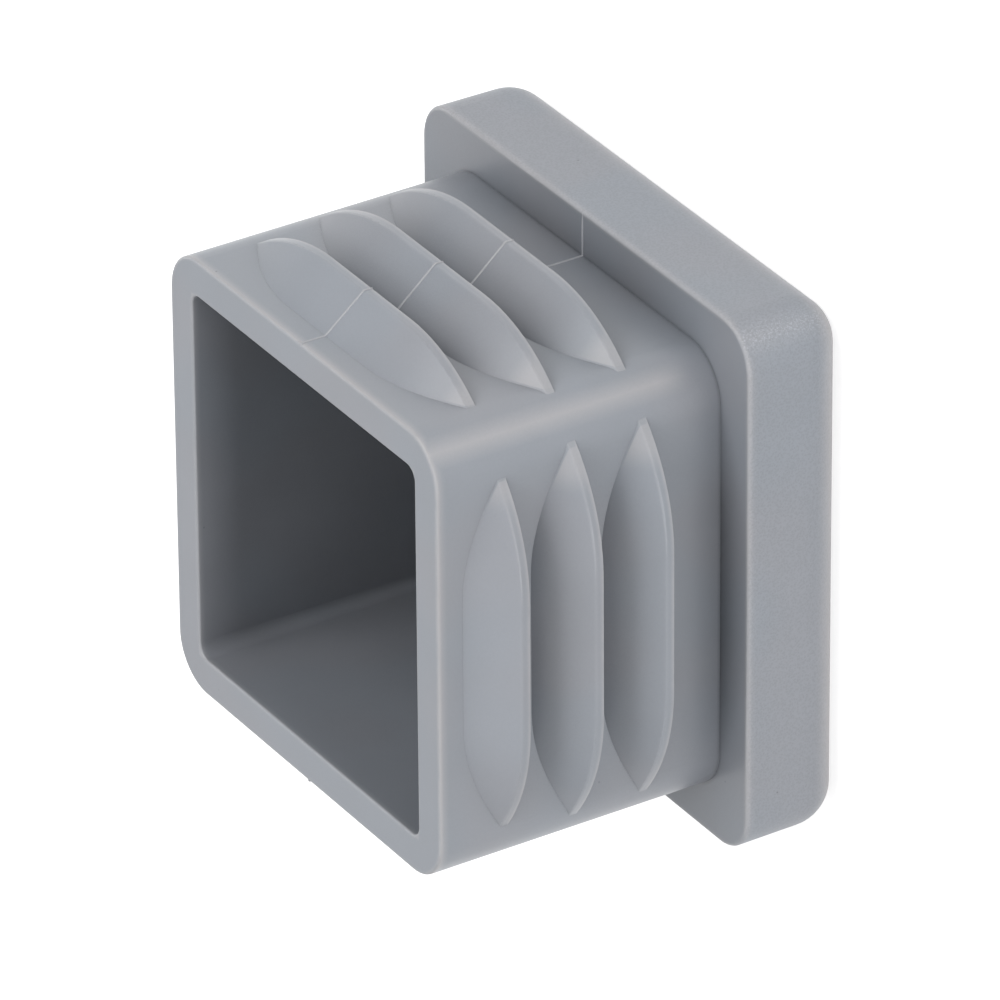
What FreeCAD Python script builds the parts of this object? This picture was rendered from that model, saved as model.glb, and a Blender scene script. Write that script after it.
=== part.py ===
"""Ribbed end cap for a square tube: one hollow moulded piece, standing on its outer face.

The origin is the centre of the outer face and +Z runs along the plug to its open end. All sizes are in
millimetres and degrees.
"""
import FreeCAD
import Part
import math
import os
import Sketcher

# Driving sizes. The head covers the end of the tube, the plug goes inside it and the ribs grip its walls.
SIZES = {
    "head_width": 30.0,
    "head_depth": 6.0,
    "head_draft": 0.5,
    "face_round": 2.4,
    "corner_step": 0.1,
    "shoulder_round": 0.2,
    "plug_width": 25.0,
    "plug_length": 16.3,
    "plug_corner": 2.6,
    "rim_round": 0.15,
    "wall": 2.04,
    "face_wall": 2.5,
    "mouth_corner": 0.7,
    "mouth_round": 0.12,
    "core_draft": 0.5,
    "floor_round": 0.3,
    "rib_height": 2.1,
    "rib_flat": 7.8,
    "rib_lead": 2.4,
    "front_rib_height": 1.85,
    "front_rib_flat": 7.25,
    "front_rib_lead": 2.23,
    "rib_end_radius": 11.3,
    "rib_lean": 6.0,
    "rib_land": 0.45,
    "crest_round": 0.2,
    "rib_root": 0.3,
    "rib_setback": 4.05,
    "rim_gap": 1.42,
}
RIBS = 3
SIDES = 4

NODE = "end_cap"
NEAR = 1e-3


def add_sizes(doc):
    """Put the driving sizes in a sheet, one named cell a row, and the sizes that follow from them."""
    sheet = doc.addObject("Spreadsheet::Sheet", "Sizes")
    derived = {
        "head_corner": "=face_round + corner_step",
        "mouth_width": "=plug_width - 2 * wall",
        "plug_half": "=plug_width / 2",
        "rim_level": "=head_depth + plug_length",
        "rib_pitch": f"=(plug_length - rim_gap - front_rib_lead - rib_land - rib_setback) / {RIBS - 1}",
    }
    cells = {name: str(value) for name, value in SIZES.items()}
    cells.update(derived)
    for row, (name, content) in enumerate(cells.items(), start=1):
        sheet.set(f"A{row}", name)
        sheet.setAlias(f"B{row}", name)
        sheet.set(f"B{row}", content)
    doc.recompute()
    return sheet


def origin_item(body, role):
    """Plane or axis of the body's own origin."""
    return next(item for item in body.Origin.OriginFeatures if item.Role == role)


def plane_sketch(body, name, role, offset="0"):
    """Start a sketch parallel to a plane of the origin, at an offset given by an expression."""
    sketch = body.newObject("Sketcher::SketchObject", name)
    sketch.AttachmentSupport = [(origin_item(body, role), "")]
    sketch.MapMode = "FlatFace"
    sketch.setExpression("AttachmentOffset.Base.z", offset)
    return sketch


def bind(sketch, name, expression, constraint):
    """Add a driving dimension to a sketch and tie it to an expression."""
    index = sketch.addConstraint(constraint)
    sketch.renameConstraint(index, name)
    sketch.setExpression(f"Constraints.{name}", expression)


def relate(sketch, kind, *items):
    """Add a geometric constraint to a sketch."""
    sketch.addConstraint(Sketcher.Constraint(kind, *items))


def line(sketch, start, end):
    """Add a line between two points given as pairs."""
    return sketch.addGeometry(Part.LineSegment(FreeCAD.Vector(*start, 0), FreeCAD.Vector(*end, 0)))


def arc(sketch, centre, radius, start, end):
    """Add an arc about a centre given as a pair, between two angles in degrees."""
    circle = Part.Circle(FreeCAD.Vector(*centre, 0), FreeCAD.Vector(0, 0, 1), radius)
    return sketch.addGeometry(Part.ArcOfCircle(circle, math.radians(start), math.radians(end)))


def draw_rounded_square(sketch, sheet, width_size, corner_size):
    """Draw a square with round corners about the origin, tied to its width and its corner radius."""
    half = getattr(sheet, width_size) / 2
    corner = getattr(sheet, corner_size)
    flat = half - corner
    top = line(sketch, (flat, half), (-flat, half))
    top_left = arc(sketch, (-flat, flat), corner, 90, 180)
    left = line(sketch, (-half, flat), (-half, -flat))
    bottom_left = arc(sketch, (-flat, -flat), corner, 180, 270)
    bottom = line(sketch, (-flat, -half), (flat, -half))
    bottom_right = arc(sketch, (flat, -flat), corner, 270, 360)
    right = line(sketch, (half, -flat), (half, flat))
    top_right = arc(sketch, (flat, flat), corner, 0, 90)
    ring = [top, top_left, left, bottom_left, bottom, bottom_right, right, top_right]
    for here, after in zip(ring, ring[1:] + ring[:1]):
        relate(sketch, "Tangent", here, 2, after, 1)
    for level in (top, bottom):
        relate(sketch, "Horizontal", level)
    for upright in (left, right):
        relate(sketch, "Vertical", upright)
    for other in (bottom_left, bottom_right, top_right):
        relate(sketch, "Equal", top_left, other)
    relate(sketch, "Symmetric", top, 1, bottom, 1, -1, 1)
    bind(sketch, "across", f"Sizes.{width_size}",
         Sketcher.Constraint("DistanceX", left, 1, right, 1, 2 * half))
    bind(sketch, "along", f"Sizes.{width_size}",
         Sketcher.Constraint("DistanceY", bottom, 1, top, 1, 2 * half))
    bind(sketch, "corner", f"Sizes.{corner_size}", Sketcher.Constraint("Radius", top_left, corner))


def draw_crest(sketch, sheet, kind):
    """Draw a rib's crest in its leaning plane: flat in the middle, then an arc down to each end."""
    radius = sheet.rib_end_radius
    flat = getattr(sheet, f"{kind}_flat")
    upright_share = math.cos(math.radians(sheet.rib_lean))
    crest = (sheet.plug_half + getattr(sheet, f"{kind}_height")) / upright_share
    buried = (sheet.plug_half - sheet.rib_root) / upright_share
    end_angle = math.degrees(math.asin((buried - crest + radius) / radius))
    right = arc(sketch, (flat / 2, crest - radius), radius, end_angle, 90)
    top = line(sketch, (flat / 2, crest), (-flat / 2, crest))
    left = arc(sketch, (-flat / 2, crest - radius), radius, 90, 180 - end_angle)
    relate(sketch, "Tangent", right, 2, top, 1)
    relate(sketch, "Tangent", top, 2, left, 1)
    relate(sketch, "Equal", right, left)
    relate(sketch, "Symmetric", top, 1, top, 2, -2)
    relate(sketch, "Horizontal", left, 2, right, 1)
    bind(sketch, "flat", f"Sizes.{kind}_flat", Sketcher.Constraint("DistanceX", top, 2, top, 1, flat))
    bind(sketch, "end_radius", "Sizes.rib_end_radius", Sketcher.Constraint("Radius", right, radius))
    bind(sketch, "crest", f"(Sizes.plug_half + Sizes.{kind}_height) / cos(Sizes.rib_lean)",
         Sketcher.Constraint("DistanceY", -1, 1, top, 1, crest))
    bind(sketch, "buried", "(Sizes.plug_half - Sizes.rib_root) / cos(Sizes.rib_lean)",
         Sketcher.Constraint("DistanceY", -1, 1, right, 1, buried))


def draw_rib_section(sketch, sheet, kind, number):
    """Draw a rib's section: leaning back, narrow land, round front edge and a lead-in to the rim."""
    height = getattr(sheet, f"{kind}_height")
    lead_length = getattr(sheet, f"{kind}_lead")
    crest = sheet.plug_half + height
    buried = sheet.plug_half - sheet.rib_root
    back = sheet.head_depth + sheet.rib_setback + number * sheet.rib_pitch
    front = back + sheet.rib_land
    foot = front + lead_length * (height + sheet.rib_root) / height
    lean = (height + sheet.rib_root) * math.tan(math.radians(sheet.rib_lean))
    radius = sheet.crest_round
    slope = math.degrees(math.atan2(height, lead_length))
    trim = radius * math.tan(math.radians(slope / 2))
    bend = (crest - radius, front - trim)
    bend_end = (bend[0] + radius * math.cos(math.radians(slope)),
                bend[1] + radius * math.sin(math.radians(slope)))
    flank = line(sketch, (buried, back + lean), (crest, back))
    land = line(sketch, (crest, back), (crest, front - trim))
    front_edge = arc(sketch, bend, radius, 0, slope)
    lead = line(sketch, bend_end, (buried, foot))
    root = line(sketch, (buried, foot), (buried, back + lean))
    corner = sketch.addGeometry(Part.Point(FreeCAD.Vector(crest, front, 0)))
    relate(sketch, "Coincident", flank, 2, land, 1)
    relate(sketch, "Tangent", land, 2, front_edge, 1)
    relate(sketch, "Tangent", front_edge, 2, lead, 1)
    relate(sketch, "Coincident", lead, 2, root, 1)
    relate(sketch, "Coincident", root, 2, flank, 1)
    relate(sketch, "Vertical", land)
    relate(sketch, "Vertical", root)
    relate(sketch, "PointOnObject", corner, 1, land)
    relate(sketch, "PointOnObject", corner, 1, lead)
    back_level = f"Sizes.head_depth + Sizes.rib_setback + {number} * Sizes.rib_pitch"
    front_level = f"{back_level} + Sizes.rib_land"
    slope_share = f"(Sizes.{kind}_height + Sizes.rib_root) / Sizes.{kind}_height"
    bind(sketch, "edge_round", "Sizes.crest_round", Sketcher.Constraint("Radius", front_edge, radius))
    bind(sketch, "crest", f"Sizes.plug_half + Sizes.{kind}_height",
         Sketcher.Constraint("DistanceX", -1, 1, land, 1, crest))
    bind(sketch, "buried", "Sizes.plug_half - Sizes.rib_root",
         Sketcher.Constraint("DistanceX", -1, 1, root, 1, buried))
    bind(sketch, "back", back_level, Sketcher.Constraint("DistanceY", -1, 1, land, 1, back))
    bind(sketch, "lean", f"(Sizes.{kind}_height + Sizes.rib_root) * tan(Sizes.rib_lean)",
         Sketcher.Constraint("DistanceY", land, 1, flank, 1, lean))
    bind(sketch, "front", front_level, Sketcher.Constraint("DistanceY", -1, 1, corner, 1, front))
    bind(sketch, "foot", f"{front_level} + Sizes.{kind}_lead * {slope_share}",
         Sketcher.Constraint("DistanceY", -1, 1, root, 1, foot))


def add_head(body, sheet):
    """Head: drafted square block from the shoulder down to the outer face."""
    sketch = plane_sketch(body, "head_outline", "XY_Plane", "Sizes.head_depth")
    draw_rounded_square(sketch, sheet, "head_width", "head_corner")
    head = body.newObject("PartDesign::Pad", "head")
    head.Profile = sketch
    head.Reversed = True
    head.setExpression("Length", "Sizes.head_depth")
    head.setExpression("TaperAngle", "-Sizes.head_draft")


def add_plug(body, sheet):
    """Plug: square block from the shoulder up to the rim."""
    sketch = plane_sketch(body, "plug_outline", "XY_Plane", "Sizes.head_depth")
    draw_rounded_square(sketch, sheet, "plug_width", "plug_corner")
    plug = body.newObject("PartDesign::Pad", "plug")
    plug.Profile = sketch
    plug.setExpression("Length", "Sizes.plug_length")


def add_rib(body, sheet, number):
    """Rib: its section swept along its crest. The one nearest the rim is lower and shorter."""
    kind = "front_rib" if number == RIBS - 1 else "rib"
    crest = plane_sketch(body, f"crest_{number + 1}", "XY_Plane",
                         f"Sizes.head_depth + Sizes.rib_setback + {number} * Sizes.rib_pitch"
                         f" + (Sizes.plug_half + Sizes.{kind}_height) * tan(Sizes.rib_lean)")
    crest.AttachmentOffset.Rotation = FreeCAD.Rotation(FreeCAD.Vector(-1, 0, 0), sheet.rib_lean)
    crest.setExpression("AttachmentOffset.Rotation.Angle", "Sizes.rib_lean")
    draw_crest(crest, sheet, kind)
    section = plane_sketch(body, f"section_{number + 1}", "YZ_Plane")
    draw_rib_section(section, sheet, kind, number)
    rib = body.newObject("PartDesign::AdditivePipe", f"rib_{number + 1}")
    rib.Profile = section
    rib.Spine = (crest, [f"Edge{edge}" for edge in range(1, crest.GeometryCount + 1)])
    return rib


def add_ribs(doc, body, sheet):
    """Ribs: a row on one side of the plug and the same row on its other sides."""
    row = [add_rib(body, sheet, number) for number in range(RIBS)]
    doc.recompute()
    ring = body.newObject("PartDesign::PolarPattern", "ribs_all_round")
    ring.Originals = row
    ring.Axis = (origin_item(body, "Z_Axis"), [""])
    ring.Angle = 360
    ring.Occurrences = SIDES
    body.Tip = ring
    doc.recompute()


def add_hollow(doc, body, sheet):
    """Hollow: drafted square pocket from the rim down to the wall behind the outer face."""
    before = body.Shape.Volume
    sketch = plane_sketch(body, "mouth_outline", "XY_Plane", "Sizes.rim_level")
    draw_rounded_square(sketch, sheet, "mouth_width", "mouth_corner")
    hollow = body.newObject("PartDesign::Pocket", "hollow")
    hollow.Profile = sketch
    hollow.setExpression("Length", "Sizes.rim_level - Sizes.face_wall")
    hollow.setExpression("TaperAngle", "-Sizes.core_draft")
    doc.recompute()
    depth = sheet.rim_level - sheet.face_wall
    floor_width = sheet.mouth_width - 2 * depth * math.tan(math.radians(sheet.core_draft))
    if before - body.Shape.Volume < 0.9 * depth * floor_width ** 2:
        raise RuntimeError("the hollow does not cut the plug")


def level_face(shape, height):
    """Largest flat face of a shape at a height."""
    flat = [face for face in shape.Faces
            if face.BoundBox.ZLength < NEAR and abs(face.BoundBox.ZMin - height) < NEAR]
    return max(flat, key=lambda face: face.Area)


def outer_edges(shape, height):
    """Edges round the outside of the flat face at a height."""
    return level_face(shape, height).OuterWire.Edges


def inner_edges(shape, height):
    """Edges round the opening in the flat face at a height."""
    face = level_face(shape, height)
    return [edge for wire in face.Wires if not wire.isSame(face.OuterWire) for edge in wire.Edges]


def add_round(doc, body, name, find, height):
    """Round the edges that a function finds at a height, with the radius in the size of the same name."""
    base = body.Tip
    edges = find(base.Shape, height)
    numbered = enumerate(base.Shape.Edges, start=1)
    names = [f"Edge{number}" for number, edge in numbered if any(edge.isSame(other) for other in edges)]
    fillet = body.newObject("PartDesign::Fillet", f"{name}_edges")
    fillet.Base = (base, names)
    fillet.setExpression("Radius", f"Sizes.{name}")
    doc.recompute()


def check(doc, body):
    """Stop if a feature failed or the body is not one valid solid."""
    for item in doc.Objects:
        if "Invalid" in item.State or "Error" in item.State:
            raise RuntimeError(f"{item.Name} failed: {item.State}")
    shape = body.Shape
    if shape.isNull() or not shape.isValid() or len(shape.Solids) != 1:
        raise RuntimeError(f"{body.Label} is not one valid solid")


def main():
    """Build the cap, check it and write it."""
    doc = FreeCAD.newDocument("tube_end_cap")
    sheet = add_sizes(doc)
    body = doc.addObject("PartDesign::Body", NODE)
    body.Label = NODE
    body.Placement = FreeCAD.Placement()
    add_head(body, sheet)
    add_plug(body, sheet)
    add_ribs(doc, body, sheet)
    add_hollow(doc, body, sheet)
    add_round(doc, body, "shoulder_round", outer_edges, sheet.head_depth)
    add_round(doc, body, "face_round", outer_edges, 0)
    add_round(doc, body, "rim_round", outer_edges, sheet.rim_level)
    add_round(doc, body, "mouth_round", inner_edges, sheet.rim_level)
    add_round(doc, body, "floor_round", outer_edges, sheet.face_wall)
    doc.recompute()
    check(doc, body)
    os.makedirs("parts", exist_ok=True)
    body.Shape.exportStep(f"parts/{NODE}.step")
    print(f"{NODE}: {body.Shape.Volume:.1f} mm3, {body.Shape.BoundBox}")


main()
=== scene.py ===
"""Tube end cap: plastic finish, parting line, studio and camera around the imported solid.

All lengths are in metres in the part's own frame. The cap stands on its outer face at the origin and +Z runs
along the plug to its open rim.
"""
from __future__ import annotations

import logging
import math
import random
from dataclasses import dataclass, field
from enum import Enum

import bmesh
import bpy
from mathutils import Matrix, Vector


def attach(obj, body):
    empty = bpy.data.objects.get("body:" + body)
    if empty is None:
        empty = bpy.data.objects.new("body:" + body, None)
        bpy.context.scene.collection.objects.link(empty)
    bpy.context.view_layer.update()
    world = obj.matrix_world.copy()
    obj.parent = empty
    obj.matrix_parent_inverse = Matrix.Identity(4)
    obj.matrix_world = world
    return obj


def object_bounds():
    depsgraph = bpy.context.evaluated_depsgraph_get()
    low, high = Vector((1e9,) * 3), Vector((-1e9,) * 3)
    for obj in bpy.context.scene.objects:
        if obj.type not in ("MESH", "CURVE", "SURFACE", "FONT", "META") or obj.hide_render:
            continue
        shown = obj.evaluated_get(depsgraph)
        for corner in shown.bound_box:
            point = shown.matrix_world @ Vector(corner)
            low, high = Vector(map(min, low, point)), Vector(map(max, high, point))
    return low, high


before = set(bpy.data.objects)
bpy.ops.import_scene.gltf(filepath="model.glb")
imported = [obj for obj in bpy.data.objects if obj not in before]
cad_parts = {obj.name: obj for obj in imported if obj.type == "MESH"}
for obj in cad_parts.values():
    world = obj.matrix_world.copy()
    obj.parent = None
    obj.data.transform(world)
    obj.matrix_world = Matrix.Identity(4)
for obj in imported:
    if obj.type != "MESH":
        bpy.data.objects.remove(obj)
cad_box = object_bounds()

Colour = tuple[float, float, float, float]
Socket = bpy.types.NodeSocket
Feed = float | Colour | Vector | Socket
Inputs = tuple[tuple[str, float], ...]
Key = tuple[int, int]

MM = 0.001
BODY = "root"
CAP_NODE = "end_cap"
WHITE: Colour = (1.0, 1.0, 1.0, 1.0)
SKY_SAMPLES = 2

# Numbers of the standard screen curve
SCREEN_TOP = 255
TOE_END = 0.04045
TOE_SLOPE = 12.92
CURVE_LIFT = 0.055
CURVE_POWER = 2.4

log = logging.getLogger("end_cap")


class Op(Enum):
    """Sums that the node graphs use."""

    ADD = "ADD"
    SUBTRACT = "SUBTRACT"
    MULTIPLY = "MULTIPLY"
    DIVIDE = "DIVIDE"
    LARGEST = "MAXIMUM"
    SMALLEST = "MINIMUM"
    SIZE = "ABSOLUTE"
    LESS = "LESS_THAN"
    MORE = "GREATER_THAN"


class Side(Enum):
    """The two sides of the plug that the mould's parting line runs over."""

    PLUS_Y = 1
    MINUS_Y = -1


def linear(red: int, green: int, blue: int) -> Colour:
    """Turn a screen colour of 0 to 255 into the linear colour that a shader takes.

    Args:
        red: red share.
        green: green share.
        blue: blue share.

    Returns:
        Linear red, green and blue, and an alpha of 1.
    """
    def channel(value: int) -> float:
        """Turn one share."""
        share = value / SCREEN_TOP
        if share <= TOE_END:
            return share / TOE_SLOPE
        return ((share + CURVE_LIFT) / (1 + CURVE_LIFT)) ** CURVE_POWER
    return channel(red), channel(green), channel(blue), 1.0


def length_of(points: list[Vector]) -> float:
    """Measure a line of points.

    Args:
        points: the points in order.

    Returns:
        The line's length.
    """
    return sum((after - before).length for before, after in zip(points, points[1:]))


class Graph:
    """A node tree with short calls that add and join its nodes."""

    def __init__(self, tree: bpy.types.NodeTree) -> None:
        """Take the tree to work in."""
        self.tree = tree

    def add(self, kind: str, **settings: object) -> bpy.types.Node:
        """Add a node.

        Args:
            kind: type of the node.
            settings: properties of the node.

        Returns:
            The new node.
        """
        node = self.tree.nodes.new(kind)
        for name, value in settings.items():
            setattr(node, name, value)
        return node

    def feed(self, socket: Socket, value: Feed) -> None:
        """Join an output to a socket, or set the socket to a plain value.

        Args:
            socket: input to fill.
            value: output socket or value.
        """
        if isinstance(value, bpy.types.NodeSocket):
            self.tree.links.new(value, socket)
        else:
            socket.default_value = value

    def sum(self, op: Op, *terms: Feed) -> Socket:
        """Add a node that does a sum of one or two terms.

        Args:
            op: which sum.
            terms: its terms.

        Returns:
            The result.
        """
        node = self.add("ShaderNodeMath", operation=op.value)
        for socket, term in zip(node.inputs, terms):
            self.feed(socket, term)
        return node.outputs[0]

    def product(self, *terms: Feed) -> Socket:
        """Multiply several values.

        Args:
            terms: values to multiply, the first one an output.

        Returns:
            The product.
        """
        result = terms[0]
        for term in terms[1:]:
            result = self.sum(Op.MULTIPLY, result, term)
        return result

    def largest(self, *terms: Feed) -> Socket:
        """Take the largest of several values.

        Args:
            terms: values to compare, the first one an output.

        Returns:
            The largest.
        """
        result = terms[0]
        for term in terms[1:]:
            result = self.sum(Op.LARGEST, result, term)
        return result

    def rest(self, share: Socket) -> Socket:
        """Give what a share leaves of 1."""
        return self.sum(Op.SUBTRACT, 1.0, share)

    def gain(self, mask: Socket, share: Feed) -> Socket:
        """Give a factor that is 1 where a mask is 0, and 1 plus the share where the mask is 1."""
        return self.sum(Op.ADD, self.sum(Op.MULTIPLY, mask, share), 1.0)

    def span(self, value: Socket, start: Feed, end: Feed, low: float = 0.0, high: float = 1.0) -> Socket:
        """Turn a range of a value smoothly into another range, held at its ends.

        Args:
            value: value to turn.
            start: value that gives low.
            end: value that gives high.
            low: result at the start.
            high: result at the end.

        Returns:
            The result.
        """
        node = self.add("ShaderNodeMapRange", interpolation_type="SMOOTHSTEP")
        for socket, term in zip(node.inputs, (value, start, end, low, high)):
            self.feed(socket, term)
        return node.outputs[0]

    def place(self) -> Socket:
        """Give the shaded point's place in the part's frame."""
        return self.add("ShaderNodeTexCoord").outputs["Object"]

    def facing(self) -> Socket:
        """Give the direction that the surface faces in the part's frame."""
        return self.add("ShaderNodeTexCoord").outputs["Normal"]

    def split(self, vector: Socket) -> tuple[Socket, Socket, Socket]:
        """Split a vector into its three parts.

        Args:
            vector: the vector.

        Returns:
            Its x, y and z.
        """
        node = self.add("ShaderNodeSeparateXYZ")
        self.feed(node.inputs[0], vector)
        return node.outputs[0], node.outputs[1], node.outputs[2]

    def openness(self, reach: Feed, inside: bool = False) -> Socket:
        """Give how much of the space in front of the surface, or behind it, is free of the part's own faces.

        Args:
            reach: how far it looks.
            inside: whether it looks into the plastic.

        Returns:
            Share that is free.
        """
        node = self.add("ShaderNodeAmbientOcclusion", only_local=True, inside=inside, samples=SKY_SAMPLES)
        self.feed(node.inputs["Distance"], reach)
        return node.outputs["AO"]

    def noise(self, place: Socket, size: Feed, detail: float = 2.0) -> Socket:
        """Give a soft random value over the surface.

        Args:
            place: where it is read.
            size: length of its bumps.
            detail: number of finer layers.

        Returns:
            Value about 0.5.
        """
        node = self.add("ShaderNodeTexNoise", noise_dimensions="3D")
        self.feed(node.inputs["Vector"], place)
        self.feed(node.inputs["Scale"], self.sum(Op.DIVIDE, 1.0, size))
        node.inputs["Detail"].default_value = detail
        return node.outputs["Fac"]

    def cells(self, place: Socket, size: Feed) -> tuple[Socket, Socket]:
        """Give the distance to the nearest of many strewn points, and a colour drawn for that point.

        Args:
            place: where it is read.
            size: spacing of the points.

        Returns:
            Distance as a share of the spacing, and the point's own colour.
        """
        node = self.add("ShaderNodeTexVoronoi", feature="F1")
        self.feed(node.inputs["Vector"], place)
        self.feed(node.inputs["Scale"], self.sum(Op.DIVIDE, 1.0, size))
        return node.outputs["Distance"], node.outputs["Color"]

    def blend(self, share: Feed, start: Feed, end: Feed) -> Socket:
        """Mix two colours.

        Args:
            share: share of the second colour.
            start: first colour.
            end: second colour.

        Returns:
            The mixed colour.
        """
        node = self.add("ShaderNodeMix", data_type="RGBA")
        for name, value in (("Factor", share), ("A", start), ("B", end)):
            self.feed(next(s for s in node.inputs if s.name == name and s.enabled), value)
        return next(s for s in node.outputs if s.enabled)

    def use(self, group: bpy.types.NodeTree, **values: Feed) -> bpy.types.Node:
        """Place a node group.

        Args:
            group: the group.
            values: what its inputs take, by name.

        Returns:
            The group's node.
        """
        node = self.add("ShaderNodeGroup", node_tree=group)
        for name, value in values.items():
            self.feed(node.inputs[name], value)
        return node


@dataclass(frozen=True)
class Effect:
    """A shader node group with named number inputs and outputs, built once."""

    title: str
    takes: Inputs
    gives: tuple[str, ...]

    def tree(self) -> bpy.types.NodeTree:
        """Give the group, and make it the first time.

        Returns:
            The node group.
        """
        known = bpy.data.node_groups.get(self.title)
        if known:
            return known
        group = bpy.data.node_groups.new(self.title, "ShaderNodeTree")
        for name, value in self.takes:
            socket = group.interface.new_socket(name, in_out="INPUT", socket_type="NodeSocketFloat")
            socket.default_value = value
        for name in self.gives:
            group.interface.new_socket(name, in_out="OUTPUT", socket_type="NodeSocketFloat")
        graph = Graph(group)
        taken = graph.add("NodeGroupInput")
        given = graph.add("NodeGroupOutput")
        results = self.draw(graph, {name: taken.outputs[name] for name, _ in self.takes})
        for name in self.gives:
            graph.feed(given.inputs[name], results[name])
        return group

    def draw(self, graph: Graph, taken: dict[str, Socket]) -> dict[str, Socket]:
        """Draw the group's nodes.

        Args:
            graph: graph of the group.
            taken: its inputs by name.

        Returns:
            Its results by name.
        """
        raise NotImplementedError


@dataclass(frozen=True)
class RecessShade(Effect):
    """Open sky over each point, which darkens the valleys and the hollow."""

    title: str = "recess_shade"
    takes: Inputs = (("Reach", 20 * MM), ("Loss", 0.5))
    gives: tuple[str, ...] = ("Shade",)

    def draw(self, graph: Graph, taken: dict[str, Socket]) -> dict[str, Socket]:
        """Draw a factor that falls as the sky over a point closes."""
        closed = graph.rest(graph.openness(taken["Reach"]))
        return {"Shade": graph.rest(graph.product(closed, taken["Loss"]))}


@dataclass(frozen=True)
class EdgeLight(Effect):
    """Painted highlight in a thin line along each outward edge, and painted shade in a thin line along each
    inward one.
    """

    title: str = "edge_light"
    takes: Inputs = (("Edge Width", 0.25 * MM), ("Crease Width", 0.4 * MM))
    gives: tuple[str, ...] = ("Edge", "Crease")
    edge_gain: float = 3.0
    crease_gain: float = 4.0

    def draw(self, graph: Graph, taken: dict[str, Socket]) -> dict[str, Socket]:
        """Draw how much air is near each point behind the surface, and how much plastic in front of it.

        Args:
            graph: graph of the group.
            taken: its inputs by name.

        Returns:
            Its results by name.
        """
        edge = graph.rest(graph.openness(taken["Edge Width"], inside=True))
        crease = graph.rest(graph.openness(taken["Crease Width"]))
        return {
            "Edge": graph.sum(Op.SMALLEST, graph.product(edge, self.edge_gain), 1.0),
            "Crease": graph.sum(Op.SMALLEST, graph.product(crease, self.crease_gain), 1.0),
        }


@dataclass(frozen=True)
class HighlightPlaces(Effect):
    """Painted highlights where light shines on a square cap: along its upright corners and round the lower edge
    of its head.
    """

    title: str = "highlight_places"
    takes: Inputs = (("Corner Width", 0.68), ("Corner Lean", 0.087))
    gives: tuple[str, ...] = ("Corner", "Under")
    upright_start: float = 0.5
    upright_end: float = 0.9
    under_start: float = 0.15
    under_full: float = 0.8
    under_fade: float = 0.93
    under_end: float = 0.99

    def draw(self, graph: Graph, taken: dict[str, Socket]) -> dict[str, Socket]:
        """Draw masks from the direction that the surface faces.

        Args:
            graph: graph of the group.
            taken: its inputs by name.

        Returns:
            Its results by name.
        """
        x, y, z = graph.split(graph.facing())
        x_part, y_part = graph.product(x, x), graph.product(y, y)
        skew = graph.sum(Op.ADD, graph.sum(Op.SUBTRACT, x_part, y_part), taken["Corner Lean"])
        off_middle = graph.sum(Op.DIVIDE, graph.sum(Op.SIZE, skew), taken["Corner Width"])
        tent = graph.sum(Op.LARGEST, graph.rest(off_middle), 0.0)
        upright = graph.span(graph.sum(Op.ADD, x_part, y_part), self.upright_start, self.upright_end)
        down = graph.product(z, -1.0)
        return {
            "Corner": graph.product(tent, upright),
            "Under": graph.product(graph.span(down, self.under_start, self.under_full),
                                   graph.span(down, self.under_end, self.under_fade)),
        }


@dataclass(frozen=True)
class SparkGrain(Effect):
    """Fine pitted grain of a spark-eroded mould: height for the bump, flecks for the colour, and glints for a
    painted highlight.
    """

    title: str = "spark_grain"
    takes: Inputs = (("Size", 0.13 * MM),)
    gives: tuple[str, ...] = ("Height", "Fleck", "Glint")
    pit_height: float = 0.7
    fine_height: float = 0.6
    fine_size: float = 0.6
    fine_detail: float = 1.0
    fleck_low: float = 0.35
    fleck_high: float = 0.85
    glint_start: float = 0.54
    glint_full: float = 0.64

    def draw(self, graph: Graph, taken: dict[str, Socket]) -> dict[str, Socket]:
        """Draw round pits broken up by a finer noise.

        Args:
            graph: graph of the group.
            taken: its inputs by name.

        Returns:
            Its results by name.
        """
        place = graph.place()
        pits, _ = graph.cells(place, taken["Size"])
        fine = graph.noise(place, graph.product(taken["Size"], self.fine_size), self.fine_detail)
        height = graph.sum(Op.ADD, graph.product(pits, self.pit_height), graph.product(fine, self.fine_height))
        return {
            "Height": height,
            "Fleck": graph.span(height, self.fleck_low, self.fleck_high, -1.0, 1.0),
            "Glint": graph.span(fine, self.glint_start, self.glint_full),
        }


@dataclass(frozen=True)
class Mottle(Effect):
    """Slow unevenness of moulded plastic: cloudy tone, a warm cast in places and a few dark specks."""

    title: str = "mottle"
    takes: Inputs = (("Size", 4 * MM),)
    gives: tuple[str, ...] = ("Tone", "Warmth", "Speck")
    tone_low: float = 0.25
    tone_high: float = 0.75
    warmth_size: float = 1.7
    warmth_start: float = 0.35
    warmth_full: float = 0.65
    speck_spacing: float = 2.2 * MM
    speck_edge: float = 0.032
    speck_core: float = 0.015
    speck_share: float = 0.5

    def draw(self, graph: Graph, taken: dict[str, Socket]) -> dict[str, Socket]:
        """Draw two noises of different size and a sparse field of dots.

        Args:
            graph: graph of the group.
            taken: its inputs by name.

        Returns:
            Its results by name.
        """
        place = graph.place()
        tone = graph.noise(place, taken["Size"])
        warmth = graph.noise(place, graph.product(taken["Size"], self.warmth_size), 0.0)
        dots, pick = graph.cells(place, self.speck_spacing)
        speck = graph.product(graph.span(dots, self.speck_edge, self.speck_core),
                              graph.sum(Op.MORE, pick, self.speck_share))
        return {
            "Tone": graph.span(tone, self.tone_low, self.tone_high, -1.0, 1.0),
            "Warmth": graph.span(warmth, self.warmth_start, self.warmth_full),
            "Speck": speck,
        }


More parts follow.
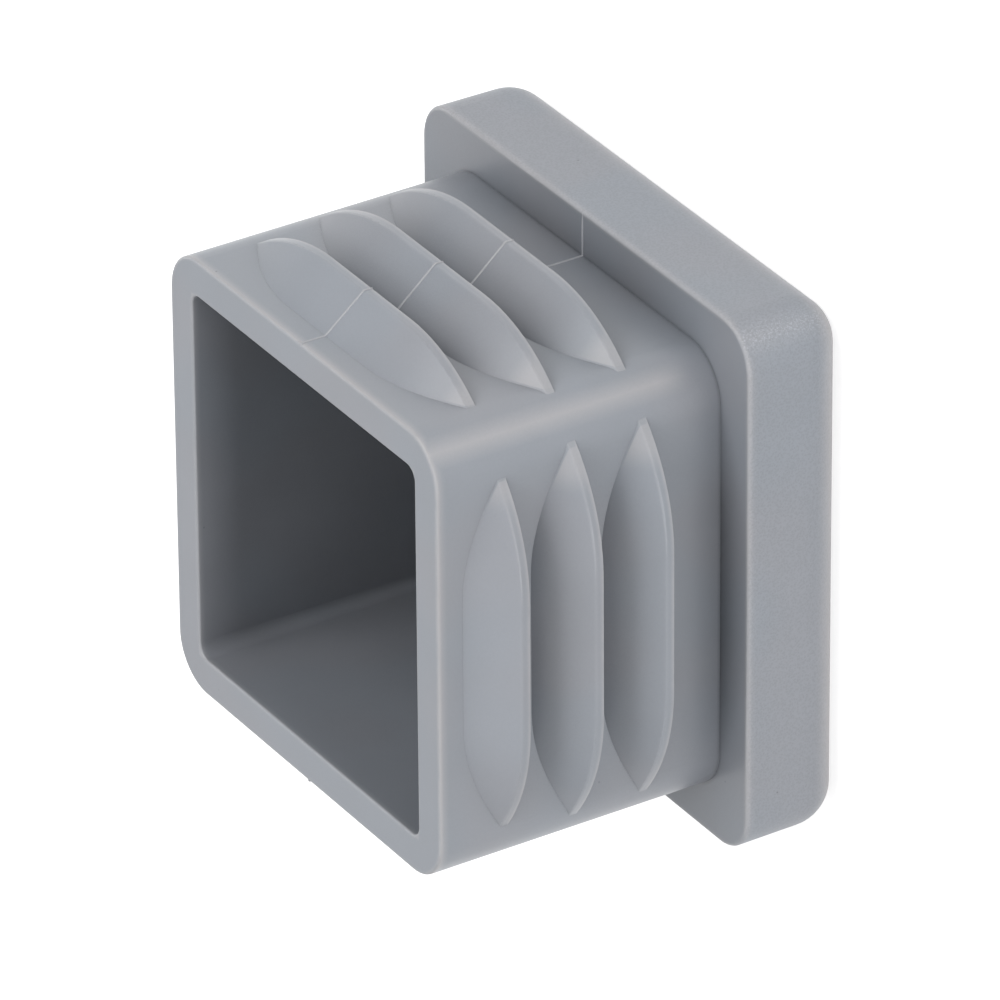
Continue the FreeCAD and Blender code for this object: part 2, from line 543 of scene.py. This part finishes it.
@dataclass(frozen=True)
class CapLevels:
    """Heights over the outer face and distances from the middle that tell the cap's parts from each other."""

    hollow_floor: float = 2.4 * MM
    head: float = 6.0 * MM
    mouth: float = 22.3 * MM
    hollow_half: float = 10.5 * MM
    mid_wall: float = 11.5 * MM
    rib_foot: float = 12.57 * MM
    head_wall: float = 14.7 * MM
    seam: float = 0.1 * MM


class CapMasks:
    """Masks that say on which part of the cap the shaded point of a material lies."""

    def __init__(self, graph: Graph, levels: CapLevels) -> None:
        """Draw the masks.

        Args:
            graph: the material's graph.
            levels: heights and distances of the cap's parts.
        """
        self.graph = graph
        self.levels = levels
        x, y, self.z = graph.split(graph.place())
        x_size, y_size = graph.sum(Op.SIZE, x), graph.sum(Op.SIZE, y)
        self.out = graph.sum(Op.LARGEST, x_size, y_size)
        self.along = graph.sum(Op.SMALLEST, x_size, y_size)
        self.diagonal = graph.sum(Op.ADD, x, y)
        self.on_head = graph.span(self.z, levels.head, levels.head - levels.seam)
        self.in_hollow = graph.product(graph.sum(Op.LESS, self.out, levels.hollow_half),
                                       self.over(levels.hollow_floor))

    def over(self, height: float) -> Socket:
        """Mask what lies higher than a height."""
        return self.graph.sum(Op.MORE, self.z, height)

    def beyond(self, distance: float) -> Socket:
        """Mask what lies further out from the middle than a distance."""
        return self.graph.sum(Op.MORE, self.out, distance)

    def to_rim(self, start: float, full: float = 0.0) -> Socket:
        """Give a mask that grows towards the rim, between two depths under it."""
        return self.graph.span(self.z, self.levels.mouth - start, self.levels.mouth - full)

    def from_shoulder(self, start: float, full: float) -> Socket:
        """Give a mask that grows between two heights over the shoulder, which are negative under it."""
        return self.graph.span(self.z, self.levels.head + start, self.levels.head + full)

    def plug_to_head(self, plug: float, head: float) -> Socket:
        """Give one value on the plug and another on the head."""
        return self.graph.span(self.on_head, 0.0, 1.0, plug, head)


@dataclass(frozen=True)
class PlasticFinish:
    """Grey moulded polyethylene, with the sizes and strengths of what shows on its surface, painted highlights
    and painted shade among them.
    """

    name: str
    cool: Colour = linear(158, 163, 171)
    warm: Colour = linear(160, 163, 170)
    # Lighter, warmer colour of the painted highlights.
    highlight_colour: Colour = linear(209, 205, 204)
    roughness: float = 0.34
    head_rougher: float = 0.1
    tone_rougher: float = 0.03
    # Strengths of painted shade in recesses and creases, and of painted highlights on edges, corners, rib ends,
    # under the head and at the mouth's lip.
    recess_loss: float = 0.55
    recess_reach: float = 20 * MM
    edge_width: float = 0.22 * MM
    edge_highlight: float = 0.4
    rim_highlight: float = 1.0
    rim_start: float = 0.5 * MM
    rim_full: float = 0.3 * MM
    shoulder_start: float = 0.3 * MM
    rim_glow: float = 0.3
    head_glow: float = 0.14
    glow_reach: float = 0.6 * MM
    glow_end: float = 0.08 * MM
    patch_size: float = 0.9 * MM
    patch_start: float = 0.32
    patch_full: float = 0.56
    patch_least: float = 0.7
    corner_highlight: float = 0.42
    head_corner_highlight: float = 0.13
    corner_width: float = 0.66
    head_corner_width: float = 0.8
    corner_least: float = 0.08
    shelter: float = 3.2 * MM
    deep_shelter: float = 0.96 * MM
    tip_highlight: float = 0.33
    tip_start: float = 8.1 * MM
    tip_end: float = 9.5 * MM
    under_highlight: float = 0.55
    lip_depth: float = 0.45 * MM
    lip_highlight: float = 0.17
    crease_width: float = 0.22 * MM
    crease_loss: float = 0.32
    grain_size: float = 0.13 * MM
    head_fleck: float = 0.06
    plug_fleck: float = 0.012
    glint_gain: float = 0.28
    head_bump: float = 0.35
    plug_bump: float = 0.08
    bump_depth: float = 0.02 * MM
    mottle_size: float = 3.5 * MM
    mottle_tone: float = 0.015
    speck_loss: float = 0.35
    # Painted shade inside the hollow.
    hollow_loss: float = 0.12
    mouth_loss: float = 0.14
    mouth_depth: float = 9 * MM
    end_loss: float = 0.04
    levels: CapLevels = CapLevels()

    def corner(self, at: CapMasks, upright: Socket, uneven: Socket) -> Socket:
        """Draw the painted highlight band along the upright corners, clear of the shoulder's shelter.

        Args:
            at: masks of the cap's parts.
            upright: mask of what faces as a corner does.
            uneven: strength over the cap.

        Returns:
            The mask.
        """
        clear = at.graph.largest(at.on_head, at.from_shoulder(self.deep_shelter, self.shelter))
        return at.graph.product(upright, at.beyond(self.levels.hollow_half), clear, uneven)

    def tip(self, at: CapMasks, uneven: Socket) -> Socket:
        """Draw the painted highlight on the ends of the ribs.

        Args:
            at: masks of the cap's parts.
            uneven: strength over the cap.

        Returns:
            The mask.
        """
        on_plug = at.over(self.levels.head + self.levels.seam)
        near_end = at.graph.span(at.along, self.tip_start, self.tip_end)
        return at.graph.product(near_end, at.beyond(self.levels.rib_foot), on_plug, uneven, self.tip_highlight)

    def edge(self, at: CapMasks, line: Socket) -> Socket:
        """Draw the painted highlight on the edges, strongest on the rim and the shoulder, with a soft painted
        glow beside those two, broken into patches by a noise.

        Args:
            at: masks of the cap's parts.
            line: mask of all outward edges.

        Returns:
            The mask.
        """
        graph, seam = at.graph, self.levels.seam
        outside = at.beyond(self.levels.mid_wall)
        strong = graph.largest(graph.product(at.to_rim(self.rim_start, self.rim_full), outside),
                               at.from_shoulder(self.shoulder_start, seam))
        share = graph.span(strong, 0.0, 1.0, self.edge_highlight, self.rim_highlight)
        patch_noise = graph.noise(graph.place(), self.patch_size)
        patchiness = graph.span(patch_noise, self.patch_start, self.patch_full, self.patch_least, 1.0)
        beside_rim = graph.product(at.to_rim(self.glow_reach, seam), graph.rest(at.to_rim(self.glow_end)),
                                   outside, self.rim_glow)
        beside_shoulder = graph.product(at.from_shoulder(-self.glow_reach, -seam),
                                        at.beyond(self.levels.head_wall), self.head_glow)
        return graph.sum(Op.ADD, graph.product(line, share, patchiness), graph.largest(beside_rim, beside_shoulder))

    def surface(self, at: CapMasks, shader: bpy.types.Node, tone: Socket, grain: Socket) -> None:
        """Set the shader's roughness and its bump.

        Args:
            at: masks of the cap's parts.
            shader: the material's shader.
            tone: cloudy tone of the plastic.
            grain: height of the grain.
        """
        graph = at.graph
        rough = at.plug_to_head(self.roughness, self.roughness + self.head_rougher)
        graph.feed(shader.inputs["Roughness"], graph.sum(Op.ADD, graph.product(tone, self.tone_rougher), rough))
        bump = graph.add("ShaderNodeBump")
        bump.inputs["Distance"].default_value = self.bump_depth
        graph.feed(bump.inputs["Strength"], at.plug_to_head(self.plug_bump, self.head_bump))
        graph.feed(bump.inputs["Height"], grain)
        graph.feed(shader.inputs["Normal"], bump.outputs[0])

    def material(self) -> bpy.types.Material:
        """Make the material.

        Returns:
            The material.
        """
        mat = bpy.data.materials.new(self.name)
        mat.use_nodes = True
        graph = Graph(mat.node_tree)
        shader = mat.node_tree.nodes["Principled BSDF"]
        at = CapMasks(graph, self.levels)
        shade = graph.use(RecessShade().tree(), Reach=self.recess_reach, Loss=self.recess_loss).outputs["Shade"]
        edges = graph.use(EdgeLight().tree(),
                          **{"Edge Width": self.edge_width, "Crease Width": self.crease_width})
        grain = graph.use(SparkGrain().tree(), Size=self.grain_size)
        mottle = graph.use(Mottle().tree(), Size=self.mottle_size)
        corner_width = at.plug_to_head(self.corner_width, self.head_corner_width)
        # Painted highlights on the upright corners and round the lower edge of the head.
        places = graph.use(HighlightPlaces().tree(), **{"Corner Width": corner_width})
        # Painted highlights grow stronger towards the +X +Y side of the cap, where the light falls.
        uneven = graph.span(at.diagonal, 0.0, 2 * self.levels.hollow_half, self.corner_least, 1.0)
        corner = self.corner(at, places.outputs["Corner"], uneven)
        # Painted light on the hollow's walls just under the rim, which also lifts the painted shade there.
        lip = graph.product(at.in_hollow, at.to_rim(self.lip_depth))
        # Painted highlights: corners, under the head, rib ends, edges and the mouth's lip.
        highlight_share = graph.largest(
            graph.product(corner, at.plug_to_head(self.corner_highlight, self.head_corner_highlight)),
            graph.product(places.outputs["Under"], at.on_head, self.under_highlight),
            self.tip(at, uneven),
            self.edge(at, edges.outputs["Edge"]),
            graph.product(lip, self.lip_highlight),
        )
        # The body's own tone, blended towards the painted highlight colour.
        tint = graph.blend(highlight_share, graph.blend(mottle.outputs["Warmth"], self.cool, self.warm), self.highlight_colour)
        # Painted shade over the hollow's walls, a little stronger towards the mouth.
        inside = graph.sum(Op.SUBTRACT, at.in_hollow, lip)
        inside_gain = graph.span(at.z, self.levels.mouth - self.mouth_depth, self.levels.mouth,
                                 -self.hollow_loss, -self.mouth_loss)
        # Painted highlight: glints of the grain on the head's corner band.
        glint = graph.product(grain.outputs["Glint"], corner, at.on_head)
        # Painted shade from the recess shade, along inward creases and in the hollow, and the rim's end a
        # little darker; painted glints on the head's corner; grain flecks, mottle and specks are the plastic's
        # own.
        level = graph.product(
            graph.largest(shade, lip),
            graph.gain(edges.outputs["Crease"], -self.crease_loss),
            graph.gain(grain.outputs["Fleck"], at.plug_to_head(self.plug_fleck, self.head_fleck)),
            graph.gain(mottle.outputs["Tone"], self.mottle_tone),
            graph.gain(mottle.outputs["Speck"], -self.speck_loss),
            graph.gain(inside, inside_gain),
            graph.gain(at.to_rim(self.levels.seam), -self.end_loss),
            graph.gain(glint, self.glint_gain),
        )
        paint = graph.add("ShaderNodeVectorMath", operation="SCALE")
        graph.feed(paint.inputs[0], tint)
        graph.feed(paint.inputs["Scale"], level)
        graph.feed(shader.inputs["Base Color"], paint.outputs[0])
        self.surface(at, shader, mottle.outputs["Tone"], grain.outputs["Height"])
        return mat


@dataclass
class CapBody:
    """The moulded cap itself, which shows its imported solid."""

    finish: PlasticFinish = PlasticFinish("cap_plastic")

    def build(self) -> bpy.types.Object:
        """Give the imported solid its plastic.

        Returns:
            The cap's object.
        """
        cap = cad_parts[CAP_NODE]
        cap.data.materials.clear()
        cap.data.materials.append(self.finish.material())
        log.info("%s: %d faces, %s", cap.name, len(cap.data.polygons), self.finish.name)
        return cap


@dataclass
class PartingLine:
    """Thin bead where the mould's halves met, over the ribs on two sides of the plug."""

    # Painted highlight: the bead is a lighter copy of the body's plastic, standing for the light its ridge
    # catches, with its painted shade and edge highlights turned off.
    finish: PlasticFinish = PlasticFinish(
        "parting_bead", cool=linear(180, 181, 186), warm=linear(181, 182, 186), recess_loss=0.0, edge_highlight=0.0,
        rim_highlight=0.0, rim_glow=0.0, head_glow=0.0, crease_loss=0.0)
    half_width: float = 0.075 * MM
    height: float = 0.05 * MM
    sunk: float = 0.03 * MM
    flank: float = 0.6
    flank_height: float = 0.7
    step: float = 0.1 * MM
    fade: float = 0.8 * MM
    height_least: float = 0.85
    height_more: float = 0.3
    end_height: float = 0.05
    width_least: float = 0.9
    width_more: float = 0.2
    end_width: float = 0.4
    nub: float = 0.7
    nub_reach: float = 0.2 * MM
    below_rim: float = 0.002 * MM
    outer_wall: float = 12.3 * MM
    shoulder: float = 5.9 * MM
    keys_per_metre: float = 1e7
    inward_pull: float = 0.01
    seed: int = 7

    def cut(self, cap: bpy.types.Object, side: Side) -> list[Vector]:
        """Follow the cap's own outline at X = 0, from the rim to the shoulder's edge.

        Args:
            cap: the cap's object.
            side: which side of the plug.

        Returns:
            Corner points of the outline, from the rim down.
        """
        solid = bmesh.new()
        solid.from_mesh(cap.data)
        found = bmesh.ops.bisect_plane(solid, geom=solid.verts[:] + solid.edges[:] + solid.faces[:],
                                       plane_co=(0, 0, 0), plane_no=(1, 0, 0))
        loop = [e for e in found["geom_cut"] if isinstance(e, bmesh.types.BMEdge)]
        wanted = [e for e in loop if all(v.co.y * side.value > self.outer_wall and v.co.z > self.shoulder
                                         for v in e.verts)]
        joined: dict[Key, list[Key]] = {}
        spots: dict[Key, Vector] = {}
        for edge in wanted:
            ends = [(round(v.co.y * self.keys_per_metre), round(v.co.z * self.keys_per_metre))
                    for v in edge.verts]
            for key, vert in zip(ends, edge.verts):
                spots[key] = vert.co.copy()
            joined.setdefault(ends[0], []).append(ends[1])
            joined.setdefault(ends[1], []).append(ends[0])
        solid.free()
        route = [max(spots, key=lambda key: key[1] - abs(key[0]) * self.inward_pull)]
        while True:
            onward = [key for key in joined[route[-1]] if key not in route]
            if not onward:
                break
            route.append(onward[0])
        return [spots[key] for key in route]

    def spread(self, corners: list[Vector]) -> list[Vector]:
        """Set points at even steps along the outline.

        Args:
            corners: corner points of the outline.

        Returns:
            The points, with the corners among them.
        """
        points: list[Vector] = []
        for start, end in zip(corners, corners[1:]):
            count = max(1, round((end - start).length / self.step))
            points += [start.lerp(end, k / count) for k in range(count)]
        return points + [corners[-1]]

    def peaks(self, corners: list[Vector]) -> list[Vector]:
        """Pick the corners where the bead swells: the rim's and the ribs' crests."""
        return [corners[0]] + [here for before, here, after in zip(corners, corners[1:], corners[2:])
                               if abs(before.y) < abs(here.y) >= abs(after.y)]

    def profile(self, swell: float) -> tuple[tuple[float, float], ...]:
        """Give the bead's section.

        Args:
            swell: height of its crest as a share of the usual one.

        Returns:
            Pairs of a place across, as a share of the half width, and a height over the plastic.
        """
        crest = self.height * swell
        side = crest * self.flank_height
        return (-1.0, -self.sunk), (-self.flank, side), (0.0, crest), (self.flank, side), (1.0, -self.sunk)

    def rows(self, corners: list[Vector], side: Side) -> list[list[Vector]]:
        """Lay sections along the outline, uneven as a real line is and fading out at its lower end.

        Args:
            corners: corner points of the outline.
            side: which side of the plug.

        Returns:
            Points of each section.
        """
        points, peaks = self.spread(corners), self.peaks(corners)
        top = cad_box[1][2] - self.below_rim
        draw = random.Random(self.seed + side.value)
        total = length_of(points)
        rows = []
        gone = 0.0
        for k, point in enumerate(points):
            before = points[max(k - 1, 0)]
            after = points[min(k + 1, len(points) - 1)]
            onward = (after - before).normalized()
            out = Vector((0, onward.z, -onward.y)) * (-side.value)
            gone += (point - before).length
            left = min(1.0, (total - gone) / self.fade)
            near = min((point - peak).length for peak in peaks)
            swell = (self.height_least + self.height_more * draw.random()) * max(left, self.end_height)
            swell *= 1 + self.nub * max(0.0, 1 - near / self.nub_reach)
            wide = self.half_width * (self.width_least + self.width_more * draw.random())
            wide *= self.end_width + (1 - self.end_width) * left
            row = [point + Vector((across * wide, 0, 0)) + out * up for across, up in self.profile(swell)]
            for spot in row:
                spot.z = min(spot.z, top)
            rows.append(row)
        return rows

    def skin(self, rows: list[list[Vector]], name: str) -> bpy.types.Mesh:
        """Close the sections to one solid bead.

        Args:
            rows: points of each section.
            name: name of the mesh.

        Returns:
            The mesh.
        """
        mesh = bmesh.new()
        rings = [[mesh.verts.new(spot) for spot in row] for row in rows]
        for low, high in zip(rings, rings[1:]):
            for k in range(len(low) - 1):
                mesh.faces.new((low[k], low[k + 1], high[k + 1], high[k]))
        for end in (rings[0], rings[-1]):
            mesh.faces.new(end)
        for low, high in zip(rings, rings[1:]):
            mesh.faces.new((low[0], high[0], high[-1], low[-1]))
        bmesh.ops.recalc_face_normals(mesh, faces=mesh.faces[:])
        data = bpy.data.meshes.new(name)
        mesh.to_mesh(data)
        mesh.free()
        for face in data.polygons:
            face.use_smooth = True
        return data

    def build(self, cap: bpy.types.Object, side: Side) -> bpy.types.Object:
        """Lay the bead on the cap.

        Args:
            cap: the cap's object.
            side: which side of the plug.

        Returns:
            The bead's object.
        """
        corners = self.cut(cap, side)
        data = self.skin(self.rows(corners, side), f"parting_line_{side.name.lower()}")
        data.materials.append(self.finish.material())
        bead = bpy.data.objects.new(data.name, data)
        bpy.context.scene.collection.objects.link(bead)
        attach(bead, BODY)
        log.info("%s: %.1f mm of bead", bead.name, length_of(corners) / MM)
        return bead


@dataclass
class Stage:
    """Pale floor under the cap, which shows white to the camera and still takes its shadow."""

    width: float = 6.0
    white: float = 0.8
    glow: float = 0.75
    roughness: float = 1.0
    gloss: float = 0.0

    def build(self) -> bpy.types.Object:
        """Make the floor.

        Returns:
            The floor object.
        """
        half = self.width / 2
        mesh = bpy.data.meshes.new("floor")
        corners = [(-half, -half, 0), (half, -half, 0), (half, half, 0), (-half, half, 0)]
        mesh.from_pydata(corners, [], [(0, 1, 2, 3)])
        floor = bpy.data.objects.new("floor", mesh)
        bpy.context.scene.collection.objects.link(floor)
        mesh.materials.append(self.material())
        return floor

    def material(self) -> bpy.types.Material:
        """Make the floor's matt white.

        Returns:
            The material.
        """
        mat = bpy.data.materials.new("floor_white")
        mat.use_nodes = True
        graph = Graph(mat.node_tree)
        shader = mat.node_tree.nodes["Principled BSDF"]
        shader.inputs["Base Color"].default_value = (self.white, self.white, self.white, 1.0)
        shader.inputs["Roughness"].default_value = self.roughness
        shader.inputs["Specular IOR Level"].default_value = self.gloss
        shader.inputs["Emission Color"].default_value = WHITE
        graph.feed(shader.inputs["Emission Strength"], graph.product(seen(graph), self.glow))
        return mat


def seen(graph: Graph) -> Socket:
    """Add a Light Path switch that is 1 for what the camera sees, also by gloss or through glass.

    Args:
        graph: graph to add it to.

    Returns:
        The switch.
    """
    path = graph.add("ShaderNodeLightPath")
    return graph.largest(*(path.outputs[f"Is {kind} Ray"] for kind in ("Camera", "Glossy", "Transmission")))


@dataclass
class Lamp:
    """A soft box that looks at the cap: square, or a strip if it has a height of its own."""

    name: str
    azimuth: float
    elevation: float
    watts: float
    width: float = 0.42
    height: float | None = None
    distance: float = 0.6

    def build(self, aim: Vector) -> bpy.types.Object:
        """Hang the lamp and turn it to the aim point.

        Args:
            aim: the point that it faces.

        Returns:
            The lamp object.
        """
        data = bpy.data.lights.new(self.name, "AREA")
        data.shape = "RECTANGLE"
        data.size = self.width
        data.size_y = self.height or self.width
        data.energy = self.watts
        lamp = bpy.data.objects.new(self.name, data)
        bpy.context.scene.collection.objects.link(lamp)
        back = away(self.azimuth, self.elevation)
        lamp.location = aim + back * self.distance
        lamp.rotation_euler = (-back).to_track_quat("-Z", "Y").to_euler()
        return lamp


def away(azimuth: float, elevation: float) -> Vector:
    """Give the direction from the cap to a viewer.

    Args:
        azimuth: angle round the cap in degrees, 0 looking along +Y.
        elevation: angle above the floor in degrees.

    Returns:
        Unit vector.
    """
    around, up = math.radians(azimuth), math.radians(elevation)
    return Vector((math.sin(around) * math.cos(up), -math.cos(around) * math.cos(up), math.sin(up)))


@dataclass
class Camera:
    """The photograph's view: where the lens stands round the cap, how it is rolled and how long it is."""

    azimuth: float = 124.427
    elevation: float = 27.2
    roll: float = 107.84
    distance: float = 0.56407
    lens: float = 408.446
    sensor: float = 36.0
    nearest: float = 0.01
    furthest: float = 50.0
    aim: Vector = field(default_factory=lambda: Vector((0.00004, 0.00013, 0.01094)))

    def build(self) -> bpy.types.Object:
        """Set up the scene's camera.

        Returns:
            The camera object.
        """
        data = bpy.data.cameras.new("camera")
        data.lens = self.lens
        data.sensor_width = self.sensor
        data.clip_start = self.nearest
        data.clip_end = self.furthest
        camera = bpy.data.objects.new("camera", data)
        bpy.context.scene.collection.objects.link(camera)
        back = away(self.azimuth, self.elevation)
        level = (-back).to_track_quat("-Z", "Y").to_matrix().to_4x4()
        turn = Matrix.Rotation(-math.radians(self.roll), 4, "Z")
        camera.matrix_world = Matrix.Translation(self.aim + back * self.distance) @ level @ turn
        bpy.context.scene.camera = camera
        return camera


@dataclass
class Studio:
    """Soft lamps round the cap, white surroundings for the camera, and the floor."""

    floor: Stage = field(default_factory=Stage)
    camera: Camera = field(default_factory=Camera)
    lamps: tuple[Lamp, ...] = (
        Lamp("back_box", azimuth=180, elevation=35, watts=1.37),
        Lamp("back_top_box", azimuth=180, elevation=62, watts=0.71),
        Lamp("front_top_box", azimuth=0, elevation=62, watts=0.63),
        Lamp("right_box", azimuth=90, elevation=8, watts=0.38),
        Lamp("right_strip_a", azimuth=75, elevation=4, watts=0.52, width=0.35, height=0.08),
        Lamp("right_strip_b", azimuth=105, elevation=4, watts=0.52, width=0.35, height=0.08),
        Lamp("left_fill", azimuth=270, elevation=35, watts=0.70),
        Lamp("overhead_box", azimuth=90, elevation=75, watts=0.35, width=0.3),
        Lamp("corner_box", azimuth=135, elevation=60, watts=0.33, width=0.15),
        Lamp("front_box", azimuth=45, elevation=48, watts=0.23, width=0.3),
    )

    def surround(self) -> None:
        """Set surroundings that show white to the camera and give no light."""
        world = bpy.data.worlds.new("studio")
        bpy.context.scene.world = world
        world.use_nodes = True
        graph = Graph(world.node_tree)
        background = world.node_tree.nodes["Background"]
        background.inputs["Color"].default_value = WHITE
        graph.feed(background.inputs["Strength"], seen(graph))

    def build(self) -> None:
        """Set the floor, the camera, the lamps and the surroundings."""
        self.floor.build()
        camera = self.camera.build()
        for lamp in self.lamps:
            lamp.build(self.camera.aim)
        self.surround()
        log.info("studio: %d lamps, %s", len(self.lamps), camera.name)


def main() -> None:
    """Dress the cap and set the stage, the light and the camera."""
    logging.basicConfig(level=logging.INFO, format="%(name)s: %(message)s")
    cap = CapBody().build()
    for side in Side:
        PartingLine().build(cap, side)
    Studio().build()
    bpy.context.scene.view_settings.view_transform = "Standard"


if __name__ == "__main__":
    main()
